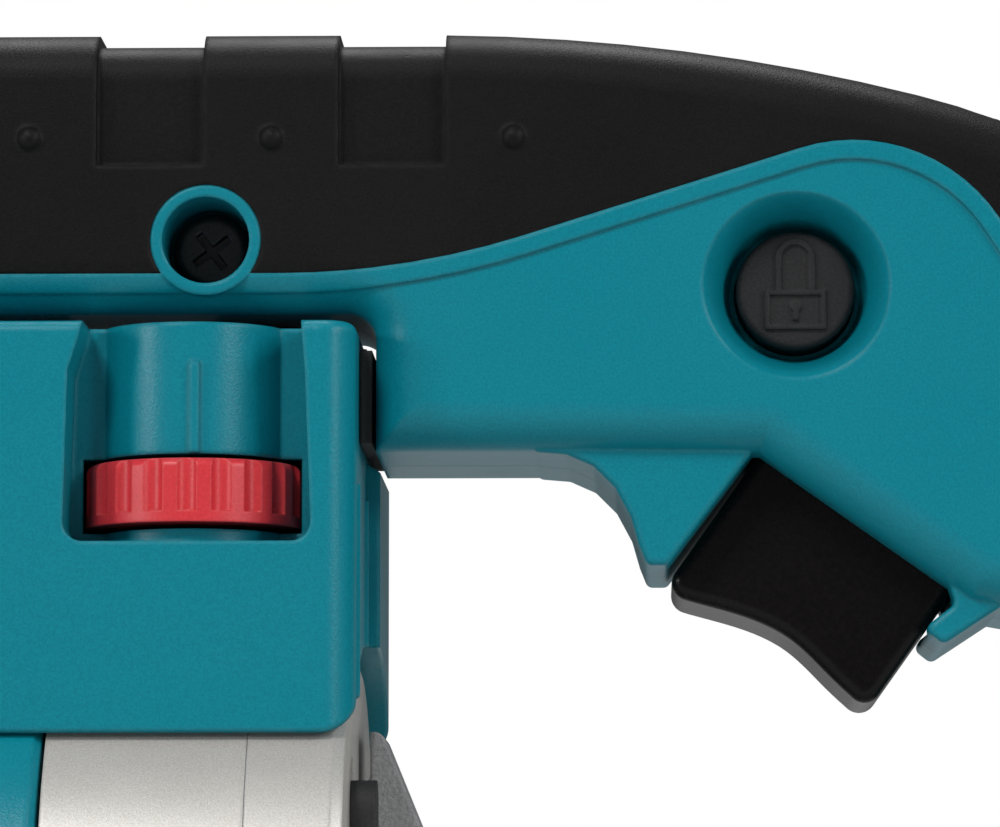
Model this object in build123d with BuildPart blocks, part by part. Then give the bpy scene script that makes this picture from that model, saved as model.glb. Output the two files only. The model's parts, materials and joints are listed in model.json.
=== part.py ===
from build123d import *
import math
import os

# Powered rotary cutter: a round knife on a bevel gear head, an in-line motor, and a bridge handle.
# Millimetres. The origin is on the base plate's underside, below the crossing of the motor's and the
# knife's axes. +X points to the rear, +Y to the right-hand side, +Z up.

# Overall layout
axis_z = 54.0
case_r = 33.0
knife_r = 52.0
knife_y = -21.85
knife_t = 1.5
knife_bore_r = 6.0
head_front_x = -20.0
case_rear_x = 70.0
shell_rear_x = 109.8
bell_rear_x = 130.1
cover_rear_x = 140.2
panel_gap = 0.4
slip = 0.05
body_gap = 0.3

# Handle
handle_half_w = 18.0
handle_wall = 2.6
handle_front_x = 50.0
leg_depth = 11.0
handle_top_z = 148.9
handle_under_z = 120.1
neck_x = 141.9
neck_z = 106.0
slot_front = (180.8, 105.7)
slot_rear = (201.8, 90.8)
leg_z = 84.0
back_start_x = 147.0
back_r = 200.0
back_turn = 14.5
heel_r = 85.0
grip_in_x = 224.0
grip_bend = 15.0
grip_bottom_z = 34.0
edge_r = 5.0
lip_step = 0.35
lip_w = 1.9
soft_edge_z = 124.0
overmould_t = 1.8
notch_pitch = 24.4
notch_w = 10.8
notch_depth = 1.15
notch_floor_z = 135.0
notch_first_x = 144.0
dome_r = 1.45
dome_z = 137.7
gland_x = 241.0
gland_r = 6.0

# Control housing between the handle and the motor
box_half_w = 24.0
box_front_x = 62.0
box_rear_x = 140.7
box_far_rear_x = 142.1
box_low_z = 76.9
box_top_z = 118.6
box_wall = 2.4
box_corner_r = 3.5

# Speed dial
dial_x = 124.0
dial_y = -12.6
dial_z = 98.5
dial_t = 6.4
dial_r = 11.0
dial_grooves = 20
dial_hub_r = 3.2
pocket_half_w = 12.3
pocket_low_z = 96.5
housing_screw_spots = [(66.5, 113.5), (66.5, 91.5), (135.5, 113.5), (135.5, 91.5)]

# Trigger and lock button
trigger_tilt = 35.5
trigger_half_w = 9.5
trigger_travel = 5.0
lock_x = 184.6
lock_z = 122.7
lock_r = 6.0
lock_rim_r = 10.0
lock_depth = 9.6
lock_proud = 4.8
lock_travel = 3.0

# Drive
pinion_teeth = 12
gear_teeth = 36
module = 0.9
shaft_r = 4.0
spindle_r = 6.0
armature_r = 16.9
air_gap = 0.6
stack_front_x = 74.0
stack_rear_x = 103.0
stator_r = 29.6
coil_window_y = 21.7
brush_x = 116.5
cover_screw_r = 25.5
front_bearing_x = (41.0, 48.0)
fan_x = 60.4
commutator_x = (108.0, 121.0)

# Sharpener
sharp_z = axis_z + knife_r - 3.0
sharp_travel = 1.5

# Base and stands
plate_t = 2.5
plate_front_x = -64.0
plate_rear_x = 98.0
plate_left_y = -38.0
plate_right_y = 34.0
upright_t = 3.0
knife_side_gap = 0.25
stand_half_w = 6.0
foot_t = 3.0
base_screw_x = (66.0, 84.0)
base_screw_y = 6.5
fork_screw_x = (58.5, 65.0)
fork_screw_z = 19.5
counter_screw_x = 26.0
counter_screw_z = 5.8

knife_left_y = knife_y - knife_t / 2
knife_right_y = knife_y + knife_t / 2
upright_y = knife_right_y + knife_side_gap - upright_t / 2
guard_in_r = knife_r + 1.6
guard_out_r = guard_in_r + 2.6
guard_y0 = -28.0
guard_y1 = -16.55
guard_screw_angles = (50, 130)
guard_screw_r = 18.0

motor_axis = Axis((0, 0, axis_z), (1, 0, 0))
spindle_axis = Axis((0, 0, axis_z), (0, 1, 0))


def turned_x(*points):
    """A solid turned about the motor's axis from (x, radius) points."""
    with BuildPart() as turned:
        with BuildSketch(Plane.XZ):
            with BuildLine():
                Polyline(*[(x, axis_z + r) for x, r in points], close=True)
            make_face()
        revolve(axis=motor_axis)
    return turned.part


def turned_y(*points):
    """A solid turned about the spindle's axis from (y, radius) points."""
    with BuildPart() as turned:
        with BuildSketch(Plane.YZ):
            with BuildLine():
                Polyline(*[(y, axis_z + r) for y, r in points], close=True)
            make_face()
        revolve(axis=spindle_axis)
    return turned.part


def block(x0, x1, y0, y1, z0, z1):
    """A plain block between two corners."""
    with BuildPart() as solid:
        with BuildSketch(Plane.XY.offset(z0)):
            with Locations(((x0 + x1) / 2, (y0 + y1) / 2)):
                Rectangle(x1 - x0, y1 - y0)
        extrude(amount=z1 - z0)
    return solid.part


def rod_x(x0, x1, y, z, r):
    """A round bar along X."""
    with BuildPart() as solid:
        with BuildSketch(Plane.YZ.offset(x0)):
            with Locations((y, z)):
                Circle(r)
        extrude(amount=x1 - x0)
    return solid.part


def rod_y(y0, y1, x, z, r):
    """A round bar along Y."""
    with BuildPart() as solid:
        with BuildSketch(Plane.XZ.offset(-y0)):
            with Locations((x, z)):
                Circle(r)
        extrude(amount=y0 - y1)
    return solid.part


def rod_z(z0, z1, x, y, r):
    """A round bar along Z."""
    with BuildPart() as solid:
        with BuildSketch(Plane.XY.offset(z0)):
            with Locations((x, y)):
                Circle(r)
        extrude(amount=z1 - z0)
    return solid.part


def slab(points, y0, y1):
    """A flat plate between two Y planes with a straight-sided outline in X and Z."""
    with BuildPart() as solid:
        with BuildSketch(Plane.XZ.offset(-y0)):
            with BuildLine():
                Polyline(*points, close=True)
            make_face()
        extrude(amount=y0 - y1)
    return solid.part


def cross_recess(plane, arm, width, depth):
    """The crossed slots in a screw's head, cut downwards from a plane."""
    with BuildPart() as cutter:
        with BuildSketch(plane):
            Rectangle(2 * arm, width)
            Rectangle(width, 2 * arm)
        extrude(amount=-depth)
    return cutter.part


def pan_screw(plane, head_r, head_t, shank_r, length):
    """A cross-head screw whose head stands on the plane, with its shank behind it."""
    with BuildPart() as screw:
        with BuildSketch(plane):
            Circle(head_r)
        extrude(amount=head_t)
        crown = screw.faces().sort_by(Axis(plane.origin, plane.z_dir))[-1]
        fillet(crown.edges(), head_t * 0.42)
        with BuildSketch(plane):
            Circle(shank_r)
        extrude(amount=-length)
        add(cross_recess(plane.offset(head_t), head_r * 0.55, head_r * 0.2, head_t * 0.6), mode=Mode.SUBTRACT)
    return screw.part


# ---------------------------------------------------------------- handle outlines (X, Z)

def inward(direction, inset):
    """A step into the outline from a side that runs clockwise in the given direction."""
    x, z = direction
    scale = inset / math.hypot(x, z)
    return z * scale, -x * scale


def mitre(point, before, after, inset):
    """Where the two sides that meet at a point meet once both have moved inwards."""
    ax, az = inward(before, 1.0)
    bx, bz = inward(after, 1.0)
    share = inset / (1 + ax * bx + az * bz)
    return point[0] + (ax + bx) * share, point[1] + (az + bz) * share


def handle_outline(inset=0.0):
    """The handle seen from the side, without the finger stops."""
    leg_x = handle_front_x + leg_depth
    front_x = handle_front_x + inset
    top_z = handle_top_z - inset
    under_z = handle_under_z + inset
    grip_top = (grip_in_x - grip_bend, slot_rear[1] - 1.3)
    slope = (slot_front[0] - slot_rear[0], slot_front[1] - slot_rear[1])
    stop = (slot_rear[0] - grip_top[0], slot_rear[1] - grip_top[1])
    with BuildSketch(Plane.XZ) as outline:
        with BuildLine():
            leg = Line((front_x, leg_z + inset), (front_x, handle_top_z - 12))
            shoulder = JernArc(leg @ 1, (0, 1), 12 - inset, -90)
            top = Line(shoulder @ 1, (back_start_x, top_z))
            back = JernArc(top @ 1, (1, 0), back_r - inset, -back_turn)
            heel = JernArc(back @ 1, back % 1, heel_r - inset, back_turn - 90)
            rear = Line(heel @ 1, ((heel @ 1).X, grip_bottom_z + 18))
            rear_corner = JernArc(rear @ 1, (0, -1), 18 - inset, -90)
            sole = Line(rear_corner @ 1, (grip_in_x + 15, grip_bottom_z + inset))
            front_corner = JernArc(sole @ 1, (-1, 0), 15 - inset, -90)
            inner = Line(front_corner @ 1, (grip_in_x + inset, grip_top[1] - grip_bend))
            groove = JernArc(inner @ 1, (0, 1), grip_bend + inset, 90)
            slot_low = mitre(slot_rear, stop, slope, inset)
            slot_high = mitre(slot_front, slope, (-1, 0.01), inset)
            Line(groove @ 1, slot_low)
            Line(slot_low, slot_high)
            Line(slot_high, (158.6, neck_z + inset))
            Line((158.6, neck_z + inset), (neck_x + inset, neck_z + inset))
            riser = Line((neck_x + inset, neck_z + inset), (neck_x + inset, handle_under_z - 2.5))
            corner = JernArc(riser @ 1, (0, 1), 2.5 + inset, 90)
            Line(corner @ 1, (leg_x - inset, under_z))
            Line((leg_x - inset, under_z), (leg_x - inset, leg_z + inset))
            Line((leg_x - inset, leg_z + inset), (front_x, leg_z + inset))
        make_face()
    return outline.sketch


def handle_solid(half_w, inset, rounding):
    """The handle's body, its edges rounded, up to the given half width."""
    with BuildPart() as solid:
        with BuildSketch(Plane.XZ):
            add(handle_outline(inset))
        extrude(amount=half_w, both=True)
        if rounding:
            side_edges = solid.edges().filter_by(Plane.XZ)
            fillet(side_edges.filter_by(lambda edge: abs(edge.center().Y) > 1), rounding)
    return solid.part


def soft_region(drop):
    """The space above and behind the overmould's edge; drop moves the edge down and in."""
    with BuildPart() as solid:
        with BuildSketch(Plane.XZ):
            with BuildLine():
                flat = Line((30, soft_edge_z - drop), (133, soft_edge_z - drop))
                climb = JernArc(flat @ 1, (1, 0), 81 + drop, 17.5)
                rise = PolarLine(climb @ 1, 29.0, direction=climb % 1)
                crest = JernArc(rise @ 1, rise % 1, 17.5 - drop, -74.5)
                fall = PolarLine(crest @ 1, 26.0, direction=crest % 1)
                settle = JernArc(fall @ 1, fall % 1, 90 - drop, -31)
                foot = Line(settle @ 1, ((settle @ 1).X + 1, 20))
                Polyline(foot @ 1, (300, 20), (300, 180), (30, 180), flat @ 0)
            make_face()
        extrude(amount=40, both=True)
    return solid.part


left_half = block(0, 300, -60, 0, 0, 200)
right_half = block(0, 300, 0, 60, 0, 200)
soft_side = soft_region(0)
lip_side = soft_region(lip_w)

front_stop = [(158.0, 106.3), (161.5, 106.0), (164.2, 104.8), (166.4, 102.6), (168.0, 99.6), (168.8, 96.8),
              (169.6, 94.8), (171.6, 94.8), (180.0, 105.9), (182.5, 111.0), (158.0, 111.0)]
rear_stop = [(199.6, 93.4), (200.4, 90.9), (197.2, 88.4), (199.2, 86.8), (205.0, 90.6), (210.0, 92.0),
             (206.0, 97.0)]
stop_bend_r = 0.8
stop_half_w = 14.5

screw_spots = [(125.3, 127.4), (62.0, 128.0), (216.5, 98.5), (236.0, 47.0)]
screw_well_r = 4.4
screw_ring_r = 5.6
screw_sink = 8.0
stud_r = 1.6

# Trigger frame: its origin is the middle of the slot, its Z runs out of the grip along the pull
slot_mid = (191.3, 100.4)
slot_half = 12.0
tilt = math.radians(trigger_tilt)
pull = (math.sin(tilt), math.cos(tilt))
trigger_plane = Plane(
    origin=(slot_mid[0], 0, slot_mid[1]), x_dir=(math.cos(tilt), 0, -math.sin(tilt)), z_dir=(0, -1, 0)
)


def trigger_block(u0, u1, half_w, v0, v1):
    """A block in the trigger's frame: u along the slot, v out of the grip."""
    with BuildPart() as solid:
        with BuildSketch(trigger_plane):
            with Locations(((u0 + u1) / 2, -(v0 + v1) / 2)):
                Rectangle(u1 - u0, v1 - v0)
        extrude(amount=half_w, both=True)
    return solid.part


# ---------------------------------------------------------------- handle

outer_body = handle_solid(handle_half_w, 0, edge_r)
stepped_body = handle_solid(handle_half_w - lip_step, lip_step, edge_r - lip_step)
under_soft = handle_solid(handle_half_w - overmould_t, overmould_t, edge_r - overmould_t)
inner_space = handle_solid(handle_half_w - handle_wall - overmould_t, handle_wall + overmould_t, 0)
notch_body = handle_solid(handle_half_w - notch_depth, notch_depth, edge_r - notch_depth)

# Finger stops before and behind the trigger
with BuildPart() as finger_stops:
    with BuildSketch(Plane.XZ):
        for stop in (front_stop, rear_stop):
            with BuildLine():
                FilletPolyline(*stop, radius=stop_bend_r, close=True)
            make_face()
    extrude(amount=stop_half_w, both=True)
    stop_edges = finger_stops.edges().filter_by(Plane.XZ)
    fillet(stop_edges.filter_by(lambda edge: abs(edge.center().Y) > 1), 0.6)

with BuildPart() as soft_core:
    add(under_soft)
    add(soft_side, mode=Mode.INTERSECT)

with BuildPart() as handle_body:
    add(outer_body)
    add(lip_side, mode=Mode.INTERSECT)
    add(stepped_body)
    add(soft_side, mode=Mode.SUBTRACT)
    add(soft_core.part)
    add(finger_stops.part)
    for x, z in screw_spots:
        add(rod_y(-handle_half_w + 0.1, handle_half_w - 0.1, x, z, screw_ring_r))
    add(inner_space, mode=Mode.SUBTRACT)
    for x, z in screw_spots:
        add(rod_y(-handle_half_w + 0.1, handle_half_w - 0.1, x, z, screw_ring_r))
    with BuildSketch(Plane.XY.offset(lock_z)):
        with BuildLine():
            Polyline((lock_x, -handle_half_w + 1), (lock_x + lock_rim_r + 1.2, -handle_half_w + 1),
                     (lock_x + lock_rim_r + 0.4, -handle_half_w + 7), (lock_x + 8.4, -handle_half_w + 8.2),
                     (lock_x + 8.4, -handle_half_w + lock_depth + 2.2),
                     (lock_x, -handle_half_w + lock_depth + 2.2), close=True)
        make_face()
    revolve(axis=Axis((lock_x, 0, lock_z), (0, 1, 0)))
    # The trigger's slot, and the seat on the gear case
    add(trigger_block(-slot_half - 0.35, slot_half + 0.35, trigger_half_w + 0.4, -6.0, 16.0),
        mode=Mode.SUBTRACT)
    add(rod_x(40, 65, 0, axis_z, case_r + panel_gap), mode=Mode.SUBTRACT)
    # Screw wells from the left, blind pilot holes into the right-hand half
    for x, z in screw_spots:
        add(rod_y(-handle_half_w - 1, -handle_half_w + screw_sink + 3.2, x, z, screw_well_r),
            mode=Mode.SUBTRACT)
        add(rod_y(-handle_half_w, handle_half_w - 4, x, z, stud_r + slip), mode=Mode.SUBTRACT)
    # The lock button's bowl
    with BuildSketch(Plane.XY.offset(lock_z)):
        with BuildLine():
            rim = -handle_half_w - 0.01
            deep = -handle_half_w + lock_depth
            Line((lock_x, rim), (lock_x + lock_rim_r, rim))
            Spline((lock_x + lock_rim_r, rim), (lock_x + 8.4, rim + 2.2), (lock_x + lock_r + 0.6, deep),
                   tangents=[(-0.9, 0.4), (-0.15, 1)])
            Line((lock_x + lock_r + 0.6, deep), (lock_x, deep))
            Line((lock_x, deep), (lock_x, rim))
        make_face()
    revolve(axis=Axis((lock_x, 0, lock_z), (0, 1, 0)), mode=Mode.SUBTRACT)
    add(rod_y(-handle_half_w, 0, lock_x, lock_z, lock_r + 0.15), mode=Mode.SUBTRACT)
    add(rod_z(20, 45, gland_x, 0, gland_r), mode=Mode.SUBTRACT)

with BuildPart() as handle_shell_left:
    add(handle_body.part)
    add(left_half, mode=Mode.INTERSECT)

with BuildPart() as handle_shell_right:
    add(handle_body.part)
    add(right_half, mode=Mode.INTERSECT)

with BuildPart() as notches:
    for step in range(-3, 1):
        centre_x = notch_first_x + step * notch_pitch
        add(block(centre_x - notch_w / 2, centre_x + notch_w / 2, -40, 40, notch_floor_z, 170))
    add(notch_body, mode=Mode.SUBTRACT)

with BuildPart() as overmould:
    add(outer_body)
    add(soft_side, mode=Mode.INTERSECT)
    add(under_soft, mode=Mode.SUBTRACT)
    add(notches.part, mode=Mode.SUBTRACT)
    for x, z in screw_spots:
        add(rod_y(-handle_half_w - 1, handle_half_w + 1, x, z, screw_ring_r), mode=Mode.SUBTRACT)
    for step in range(-3, 2):
        dome_x = notch_first_x + (step - 0.5) * notch_pitch + 0.05
        for side in (-1, 1):
            with Locations((dome_x, side * (handle_half_w - 0.6), dome_z)):
                Sphere(dome_r)
    add(under_soft, mode=Mode.SUBTRACT)
    add(rod_z(20, 45, gland_x, 0, gland_r), mode=Mode.SUBTRACT)

with BuildPart() as grip_overmould_left:
    add(overmould.part)
    add(left_half, mode=Mode.INTERSECT)

with BuildPart() as grip_overmould_right:
    add(overmould.part)
    add(right_half, mode=Mode.INTERSECT)

with BuildPart() as handle_screws:
    for x, z in screw_spots:
        seat = Plane(origin=(x, -handle_half_w + screw_sink + 3.0, z), x_dir=(0.8, 0, 0.6), z_dir=(0, -1, 0))
        add(pan_screw(seat, 4.0, 2.6, stud_r, 19))


# ---------------------------------------------------------------- trigger and lock button

with BuildPart() as trigger:
    with BuildSketch(trigger_plane) as trigger_side:
        with BuildLine():
            Line((-slot_half, 0.6), (-slot_half, -18.2))
            Spline((-slot_half, -18.2), (-5.5, -16.0), (1.2, -14.6), (7.0, -15.4), (slot_half, -16.0),
                   tangents=[(1, 0.25), (1, -0.1)])
            Line((slot_half, -16.0), (slot_half, 0.6))
            Line((slot_half, 0.6), (-slot_half, 0.6))
        make_face()
        fillet(trigger_side.vertices().sort_by(Axis.Y)[:2], 1.8)
    extrude(amount=trigger_half_w, both=True)
    rounded = trigger.edges().filter_by(Plane.XZ).filter_by(lambda edge: abs(edge.center().Y) > 1)
    fillet(rounded, 1.2)
    with BuildSketch(trigger_plane):
        with Locations((1.0, 3.0)):
            Rectangle(11, 6.4)
    extrude(amount=5.0, both=True)
    with BuildSketch(trigger_plane):
        with Locations((1.0, 2.0)):
            Rectangle(6, 12)
    extrude(amount=3.0, both=True, mode=Mode.SUBTRACT)

with BuildPart() as switch_body:
    with BuildSketch(trigger_plane):
        with Locations((2.0, 21.5)):
            Rectangle(20, 17)
    extrude(amount=8.0, both=True)
    with BuildSketch(trigger_plane):
        with Locations((2.0, 21.5)):
            Rectangle(15, 13)
    extrude(amount=9.0, both=True)
    with BuildSketch(trigger_plane):
        with Locations((1.0, 12.9)):
            Rectangle(4.4, 2)
    extrude(amount=2.2, both=True)

with BuildPart() as trigger_spring:
    coil_base = Plane(
        origin=trigger_plane.from_local_coords((1.0, 6.4, 0)), x_dir=(0, 1, 0), z_dir=(pull[0], 0, pull[1])
    )
    for turn in range(6):
        with BuildSketch(coil_base.offset(turn * 0.9 + 0.3)):
            Circle(2.6)
            Circle(2.0, mode=Mode.SUBTRACT)
        extrude(amount=0.5)
    with BuildSketch(coil_base.offset(0.3)):
        Rectangle(0.6, 4.6)
    extrude(amount=5.0)

with BuildPart() as lock_button:
    face_y = -handle_half_w + lock_proud
    add(rod_y(face_y, -4.4, lock_x, lock_z, lock_r))
    fillet(lock_button.edges().sort_by(Axis.Y)[0], 0.7)
    add(rod_y(-5.6, -4.4, lock_x, lock_z, lock_r + 1.0))
    add(rod_y(-4.4, 3.0, lock_x, lock_z, 2.2))
    # A raised padlock mark
    with BuildSketch(Plane.XZ.offset(-face_y)):
        with Locations((lock_x, lock_z - 2.0)):
            Rectangle(6.2, 4.0)
            Rectangle(5.2, 3.0, mode=Mode.SUBTRACT)
        with Locations((lock_x, lock_z - 1.6)):
            Circle(0.55)
        with Locations((lock_x, lock_z - 2.4)):
            Rectangle(0.5, 1.3)
    extrude(amount=0.3)
    with BuildSketch(Plane.XZ.offset(-face_y)):
        with Locations((lock_x, lock_z + 1.6)):
            SlotCenterToCenter(3.2, 4.0, rotation=90)
            SlotCenterToCenter(3.2, 2.8, rotation=90, mode=Mode.SUBTRACT)
        with Locations((lock_x, lock_z - 2.2)):
            Rectangle(6.2, 4.4, mode=Mode.SUBTRACT)
    extrude(amount=0.3)

with BuildPart() as lock_spring:
    for turn in range(5):
        add(rod_y(-4.2 + turn * 0.95, -3.7 + turn * 0.95, lock_x, lock_z, 3.4))
    add(rod_y(-4.3, 3.0, lock_x, lock_z, 2.6), mode=Mode.SUBTRACT)
    add(block(lock_x + 2.7, lock_x + 3.3, -4.2, 0.1, lock_z - 0.3, lock_z + 0.3))

with BuildPart() as lock_guide:
    add(block(lock_x - 4.5, lock_x + 4.5, 0.8, 12.0, lock_z - 4.5, lock_z + 4.5))
    add(rod_y(0.7, 7.0, lock_x, lock_z, 2.3), mode=Mode.SUBTRACT)

# ---------------------------------------------------------------- control housing and speed dial

with BuildPart() as box_body:
    with BuildSketch(Plane.XY.offset(box_low_z - 8)):
        with BuildLine():
            Polyline((box_front_x, -box_half_w), (box_rear_x, -box_half_w), (box_rear_x, 0),
                     (box_far_rear_x, 0), (box_far_rear_x, box_half_w), (box_front_x, box_half_w), close=True)
        make_face()
    extrude(amount=box_top_z - box_low_z + 8)
    uprights = box_body.edges().filter_by(Axis.Z).filter_by(lambda edge: abs(edge.center().Y) > 1)
    fillet(uprights, box_corner_r)
    fillet(box_body.faces().sort_by(Axis.Z)[-1].edges(), 1.2)
    # The double bead beside the seam on the rear face
    for bead_y in (-2.0, -box_half_w + box_corner_r + 1.2):
        add(rod_z(box_low_z - 4, neck_z - 3.5, box_rear_x - 0.35, bead_y, 0.7))
    # The far half's rear edge is chamfered under the handle
    add(slab([(box_rear_x - 0.1, neck_z + 0.6), (box_rear_x - 0.1, 130), (box_far_rear_x + 5, 130),
              (box_far_rear_x + 5, neck_z - 3.6)], -40, 40), mode=Mode.SUBTRACT)
    add(rod_x(box_front_x - 5, box_far_rear_x + 5, 0, axis_z, case_r + panel_gap + 0.2), mode=Mode.SUBTRACT)
    add(block(30, 200, -40, 40, 0, box_low_z), mode=Mode.SUBTRACT)

with BuildPart() as box_space:
    add(block(box_front_x + box_wall, box_rear_x - box_wall, -box_half_w + box_wall, box_half_w - box_wall,
              box_low_z - 1, box_top_z - box_wall))
    add(rod_x(box_front_x, box_rear_x, 0, axis_z, case_r + panel_gap + 2.4), mode=Mode.SUBTRACT)
    # The pocket keeps its wall behind it
    add(block(dial_x - pocket_half_w - 2, dial_x + pocket_half_w + 2, -box_half_w, -10, pocket_low_z - 2,
              box_top_z), mode=Mode.SUBTRACT)

with BuildPart() as pocket:
    with BuildSketch(Plane.XZ.offset(box_half_w + 1)):
        with BuildLine():
            left_x = dial_x - pocket_half_w
            right_x = dial_x + pocket_half_w
            Line((left_x + 2.2, box_top_z + 2), (left_x + 1.5, box_top_z - 1.5))
            Line((left_x + 1.5, box_top_z - 1.5), (left_x + 0.4, box_top_z - 5))
            Line((left_x + 0.4, box_top_z - 5), (left_x, pocket_low_z + 2))
            RadiusArc((left_x, pocket_low_z + 2), (left_x + 2, pocket_low_z), -2)
            Line((left_x + 2, pocket_low_z), (right_x - 2, pocket_low_z))
            RadiusArc((right_x - 2, pocket_low_z), (right_x, pocket_low_z + 2), -2)
            Line((right_x, pocket_low_z + 2), (right_x - 0.6, box_top_z - 5))
            Line((right_x - 0.6, box_top_z - 5), (right_x - 1.2, box_top_z + 2))
            Line((right_x - 1.2, box_top_z + 2), (left_x + 2.2, box_top_z + 2))
        make_face()
    extrude(amount=-9)
    add(rod_z(pocket_low_z - 3, box_top_z + 3, dial_x, dial_y, dial_r - 1.6), mode=Mode.SUBTRACT)

with BuildPart() as housing_body:
    add(box_body.part)
    add(box_space.part, mode=Mode.SUBTRACT)
    add(pocket.part, mode=Mode.SUBTRACT)
    # The indicator rib above the dial
    rib_y = dial_y - dial_r + 1.6
    add(block(dial_x + 0.1, dial_x + 1.1, rib_y - 0.35, rib_y + 1, dial_z + dial_t + 0.6, box_top_z - 4))
    # The window, and the space in which the dial turns
    add(block(dial_x - 10.8, dial_x + 10.8, -box_half_w - 1, -14, dial_z - 0.6, dial_z + dial_t + 0.5),
        mode=Mode.SUBTRACT)
    add(rod_z(dial_z - 0.6, dial_z + dial_t + 0.5, dial_x, dial_y, dial_r + 0.5), mode=Mode.SUBTRACT)
    add(rod_z(86, dial_z, dial_x, dial_y, dial_hub_r + 0.4), mode=Mode.SUBTRACT)
    add(block(dial_x - 6, dial_x + 6, dial_y - 6, dial_y + 8, 90, dial_z - 2.0), mode=Mode.SUBTRACT)
    for x, z in housing_screw_spots:
        add(rod_y(box_half_w - 5, box_half_w + 1, x, z, 3.0), mode=Mode.SUBTRACT)

with BuildPart() as housing_bosses:
    for x, z in housing_screw_spots:
        add(rod_y(-box_half_w + 1.5, box_half_w - 5, x, z, 3.9))
    add(pocket.part, mode=Mode.SUBTRACT)
    for x, z in housing_screw_spots:
        add(rod_y(-box_half_w / 2, box_half_w, x, z, 1.25), mode=Mode.SUBTRACT)

with BuildPart() as control_housing_left:
    add(housing_body.part)
    add(housing_bosses.part)
    add(left_half, mode=Mode.INTERSECT)

with BuildPart() as control_housing_right:
    add(housing_body.part)
    add(housing_bosses.part)
    add(right_half, mode=Mode.INTERSECT)

with BuildPart() as control_housing_screws:
    for x, z in housing_screw_spots:
        seat = Plane(origin=(x, box_half_w - 5, z), x_dir=(0.6, 0, 0.8), z_dir=(0, 1, 0))
        add(pan_screw(seat, 2.7, 2.0, 1.25 - slip, box_half_w - 4))

with BuildPart() as speed_dial:
    add(rod_z(dial_z, dial_z + dial_t, dial_x, dial_y, dial_r))
    fillet(speed_dial.edges().filter_by(GeomType.CIRCLE).sort_by(Axis.Z)[-1], 0.9)
    with BuildSketch(Plane.XY.offset(dial_z + 1.1)):
        with Locations((dial_x, dial_y)):
            with PolarLocations(dial_r + 0.55, dial_grooves):
                Circle(1.15)
    extrude(amount=dial_t, mode=Mode.SUBTRACT)
    add(rod_z(dial_z - 1, dial_z + dial_t + 1, dial_x, dial_y, dial_hub_r - 0.2), mode=Mode.SUBTRACT)
    add(block(dial_x + 1.5, dial_x + 3.5, dial_y - 2, dial_y + 2, dial_z, dial_z + dial_t))

with BuildPart() as dial_shaft:
    add(rod_z(94.4, dial_z + dial_t - 0.6, dial_x, dial_y, dial_hub_r - 0.2))
    add(block(dial_x + 1.5, dial_x + 4, dial_y - 4, dial_y + 4, dial_z, 120), mode=Mode.SUBTRACT)

with BuildPart() as potentiometer:
    add(block(dial_x - 5.4, dial_x + 5.4, dial_y - 5.4, dial_y + 6.4, 92.2, 96.0))
    add(rod_z(94.35, 97, dial_x, dial_y, dial_hub_r - 0.15), mode=Mode.SUBTRACT)

with BuildPart() as speed_controller:
    add(block(72, 130, -17, 17, 90.6, 92.2))
    add(block(74, 98, -14, 6, 92.2, 104))
    for fin in range(5):
        add(block(76 + fin * 4.6, 78 + fin * 4.6, -12, 4, 104, 111))

with BuildPart() as capacitor:
    add(rod_x(74, 96, 13.0, 97.6, 5.3))
    fillet(capacitor.edges().filter_by(GeomType.CIRCLE), 0.8)

with BuildPart() as handle_dampers:
    for x in (76, 104, 131):
        add(rod_z(box_top_z, handle_under_z, x, 0, 6.0))
    # The strip that closes the gap between the housing's rear face and the neck
    add(block(box_rear_x, neck_x, -14, 14, neck_z + 1.2, box_top_z - 2))


# ---------------------------------------------------------------- motor

with BuildPart() as motor_shell:
    add(turned_x((case_rear_x, 30), (case_rear_x, case_r), (shell_rear_x - 0.8, case_r),
                 (shell_rear_x, case_r - 0.8), (shell_rear_x, 30)))
    # Slots for the cooling air on both sides
    for turn in range(5):
        vent_z = axis_z - 19 + turn * 4.2
        add(block(90, 105, -40, 40, vent_z, vent_z + 1.8), mode=Mode.SUBTRACT)

with BuildPart() as end_bell:
    add(turned_x((shell_rear_x + 0.4, 28.5), (shell_rear_x + 0.4, case_r - 0.3), (bell_rear_x, case_r - 0.3),
                 (bell_rear_x, 28.5)))
    for side in (-1, 1):
        add(rod_y(side * 22, side * (case_r + 1.4), brush_x, axis_z, 6.6))
    for side in (-1, 1):
        add(rod_y(side * 15, side * (case_r + 3), brush_x, axis_z, 4.6), mode=Mode.SUBTRACT)
    add(turned_x((shell_rear_x + 0.3, 0.5), (shell_rear_x + 0.3, 21.5), (bell_rear_x + 1, 21.5),
                 (bell_rear_x + 1, 0.5)), mode=Mode.SUBTRACT)
    # Air slots over, under and beside the brushes
    for side in (-1, 1):
        slot_z = axis_z + side * 29
        add(block(122.0, 127.0, -12, 12, slot_z - 3, slot_z + 3), mode=Mode.SUBTRACT)
    for slot_y in (-17, 10):
        add(block(122.0, 127.0, slot_y, slot_y + 3, axis_z - 36, axis_z - 24), mode=Mode.SUBTRACT)

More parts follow.
